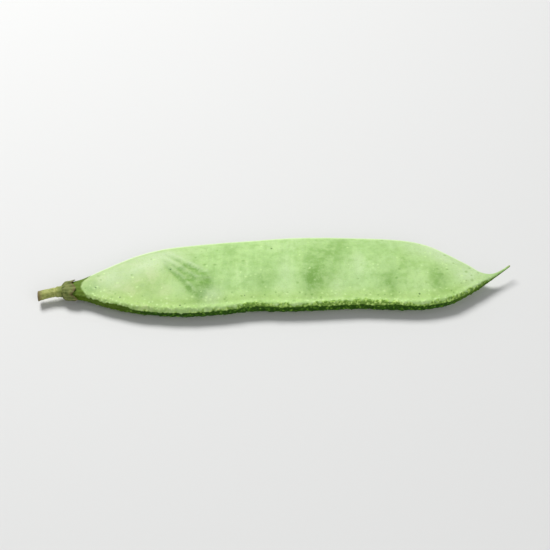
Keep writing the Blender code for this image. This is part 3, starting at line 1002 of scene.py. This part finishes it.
bm = bmesh.new()
bmesh.ops.create_cone(bm, cap_ends=True, segments=STALK_AROUND, radius1=1, radius2=1, depth=1)
cut_end = next(f for f in bm.faces if f.normal.z > 0.9)
for width in CUT_RINGS:
    bmesh.ops.inset_region(bm, faces=[cut_end], thickness=width, use_even_offset=True)
long_edges = [e for e in bm.edges if abs(e.verts[0].co.z - e.verts[1].co.z) > 0.5]
bmesh.ops.subdivide_edges(bm, edges=long_edges, cuts=STALK_RINGS - 2)
reach_layer = bm.verts.layers.float.new("reach")
pith_layer = bm.verts.layers.float.new("pith")
stalk_start = FIT_GAP + FOOT_AT * CALYX_BASE
stalk_run = STALK_LENGTH + (1 - FOOT_AT) * CALYX_BASE + FIT_GAP
for v in bm.verts:
    t = v.co.z + 0.5
    at_cut = t > CUT_AT
    inward = 1 - math.hypot(v.co.x, v.co.y) if at_cut else 0.0
    turn = math.atan2(v.co.y, v.co.x)
    radius = STALK_RADIUS * (1 + (STALK_FOOT - 1) * (1 - t) ** 4 + (STALK_END - 1) * t**3)
    ribs = math.cos(STALK_RIBS * turn + STALK_TWIST * t)
    radius *= 1 + STALK_RIB * ribs * (1 - STALK_RIB_FADE * t)
    radius += STALK_KNUCKLE * bell(t - KNUCKLE_AT[0], KNUCKLE_AT[1])
    radius -= STALK_SCAR * bell(t - SCAR_AT[0], SCAR_AT[1])
    place = (UNEVEN_ALONG * t, UNEVEN_AROUND * math.cos(turn), UNEVEN_AROUND * math.sin(turn))
    radius += STALK_UNEVEN * noise.noise(Vector(place))
    radius *= 1 - inward
    dip = DISH_DEPTH * smooth_step((inward - DISH_FROM) / DISH_SOFT)
    dip -= LIP_HEIGHT * bell(inward - LIP_AT[0], LIP_AT[1])
    round_over = EDGE_ROUND * bell(inward, EDGE_ROUND_REACH) if at_cut else 0.0
    v[reach_layer] = t
    v[pith_layer] = smooth_step((inward - PITH_FROM) / PITH_SOFT)
    v.co = Vector((
        stalk_start + t * stalk_run - dip - round_over,
        STALK_BEND * t * t + radius * math.cos(turn),
        radius * math.sin(turn) - STALK_DROOP * t,
    ))
face_outwards(bm)
bm.transform(neck_frame())
stalk = new_piece("bean_stalk", bm, stalk_skin())
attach(stalk, "root")
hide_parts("stalk")

# The floor is a plain pale sheet, wide enough to fill the view. It only sets the pod off.
FLOOR_SIDE = 3.0
FLOOR_COLOUR = (0.62, 0.62, 0.61, 1.0)
FLOOR_ROUGHNESS = 0.9
bm = bmesh.new()
bmesh.ops.create_grid(bm, x_segments=1, y_segments=1, size=FLOOR_SIDE / 2)
floor_look, _, floor_shader, _ = new_finish("floor_pale")
floor_shader.inputs["Base Color"].default_value = FLOOR_COLOUR
floor_shader.inputs["Roughness"].default_value = FLOOR_ROUGHNESS
floor = new_piece("floor", bm, floor_look)

# The light is soft and comes mostly from above and behind the far edge, a little from the left, as the
# photo's shading suggests. A weak broad light from the front keeps the seam's side readable.
# Each row: name, place, width of its disc in metres, and watts
LIGHTS = (
    ("key", (-0.22, 0.32, 0.54), 0.30, 5.0),
    ("fill", (0.30, -0.50, 0.34), 0.60, 1.6),
)
SKY_COLOUR = (0.95, 0.97, 1.0, 1.0)
SKY_STRENGTH = 0.30


def soft_light(name, place, width, watts):
    """A disc of light that faces the pod."""
    data = bpy.data.lights.new(name, "AREA")
    data.shape = "DISK"
    data.size = width
    data.energy = watts
    lamp = bpy.data.objects.new(name, data)
    lamp.location = place
    lamp.rotation_euler = (-Vector(place)).to_track_quat("-Z", "Y").to_euler()
    bpy.context.scene.collection.objects.link(lamp)


for row in LIGHTS:
    soft_light(*row)
world = bpy.data.worlds.new("studio")
world.use_nodes = True
sky = world.node_tree.nodes["Background"]
sky.inputs["Color"].default_value = SKY_COLOUR
sky.inputs["Strength"].default_value = SKY_STRENGTH
bpy.context.scene.world = world
bpy.context.scene.view_settings.view_transform = "Standard"

# The camera looks down on the pod from the seam's side, at the angle that was taken for the photo's. The
# pod fills most of the view's width.
LOOK_DOWN = math.radians(45)
LENS = 100.0
SENSOR = 36.0
FRAME_SHARE = 0.86
low, high = cad_box
middle = (low + high) / 2
distance = (high.x - low.x) / FRAME_SHARE * LENS / SENSOR
camera_data = bpy.data.cameras.new("camera")
camera_data.lens = LENS
camera_data.sensor_width = SENSOR
camera_data.clip_start = 0.01
camera = bpy.data.objects.new("camera", camera_data)
back = Vector((0, -math.cos(LOOK_DOWN), math.sin(LOOK_DOWN)))
camera.location = middle + back * distance
camera.rotation_euler = (-back).to_track_quat("-Z", "Y").to_euler()
bpy.context.scene.collection.objects.link(camera)
bpy.context.scene.camera = camera
